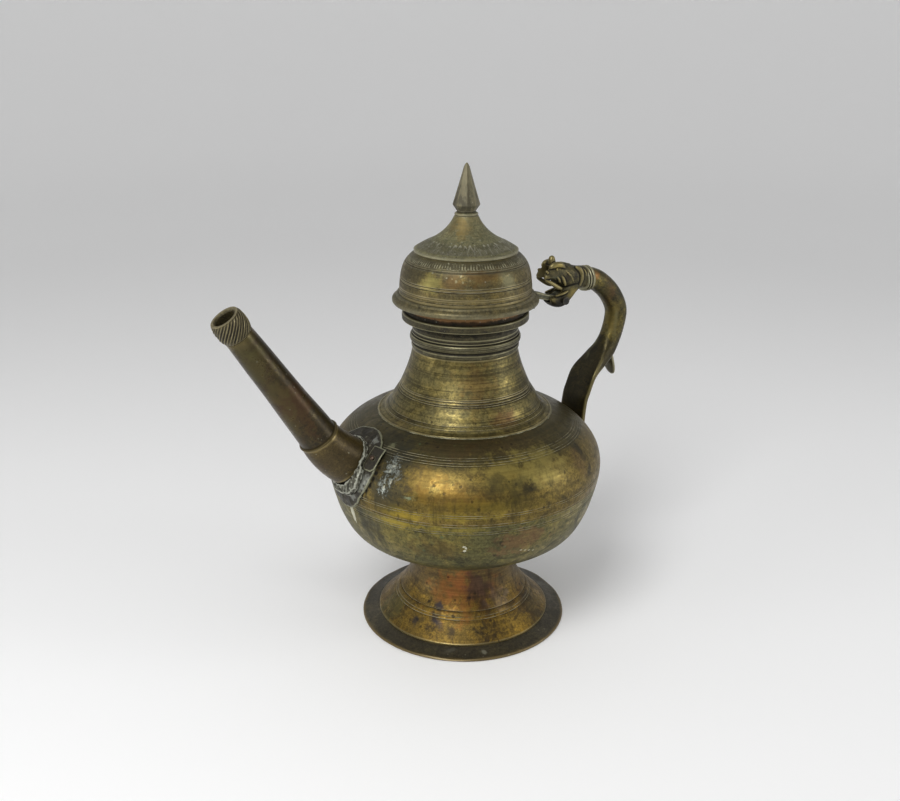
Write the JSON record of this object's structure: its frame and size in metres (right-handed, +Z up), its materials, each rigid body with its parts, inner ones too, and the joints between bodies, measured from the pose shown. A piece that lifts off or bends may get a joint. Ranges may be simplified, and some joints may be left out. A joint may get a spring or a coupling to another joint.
{
  "type": "covered bronze ewer",
  "caption": "Covered ewer on a flaring foot, with a round belly, a straight slanting spout, a hinged domed lid and an arched handle that ends in a dragon head.",
  "frame": {"origin": "bottom centre of the bounding box, on the surface that the foot stands on, 16 mm from the vessel's own axis towards the spout", "axes": "+Z up along the vessel's axis, -X towards the spout, +X towards the handle, +Y to the far side when the spout points left"},
  "size_m": [0.273, 0.164, 0.28],
  "materials": {
    "bronze_golden": "worn polished bronze with golden rubbed areas",
    "bronze_olive": "olive-brown patinated bronze, satin",
    "bronze_red": "reddish bronze with dark patches, satin",
    "bronze_dusty": "dull grey-green bronze with dust in the grooves",
    "bronze_dark": "nearly black patina with bright worn edges",
    "spout_brown": "dark brown bronze, satin",
    "solder_grey": "lumpy grey-white soft solder",
    "rivet_red": "reddish copper rivet"
  },
  "bodies": {
    "vessel": {"foot_flange": "bronze_dark", "foot_bell": "bronze_red", "bowl_lower": "bronze_olive", "bowl_upper": "bronze_golden", "neck": "bronze_olive", "neck_ring": "bronze_olive", "mouth_collar": "bronze_olive", "spout_plate": "spout_brown", "spout_tab": "spout_brown", "spout_tab_rivet": "rivet_red", "spout_solder": "solder_grey", "spout_socket": "spout_brown", "spout_bead": "spout_brown", "spout_tube": "spout_brown", "spout_knob": "spout_brown", "handle": "bronze_dark", "handle_rivet_upper": "bronze_dark", "handle_rivet_lower": "bronze_dark", "head_bands": "bronze_golden", "dragon_head": "bronze_golden", "hinge_pin": "bronze_dark"},
    "lid": {"lid_rim": "bronze_dusty", "lid_dome": "bronze_dusty", "lid_crown": "bronze_dusty", "finial_collar": "bronze_dusty", "finial": "bronze_golden", "finial_washer": "bronze_dusty", "lid_tongue": "bronze_dusty", "tongue_hook": "bronze_dark"}
  },
  "joints": [
    {"name": "lid_hinge", "type": "hinge", "parent": "vessel", "child": "lid", "pos_m": [0.08303, 0, 0.1938], "axis": [0, 1, 0], "range_deg": [0, 45]}
  ]
}
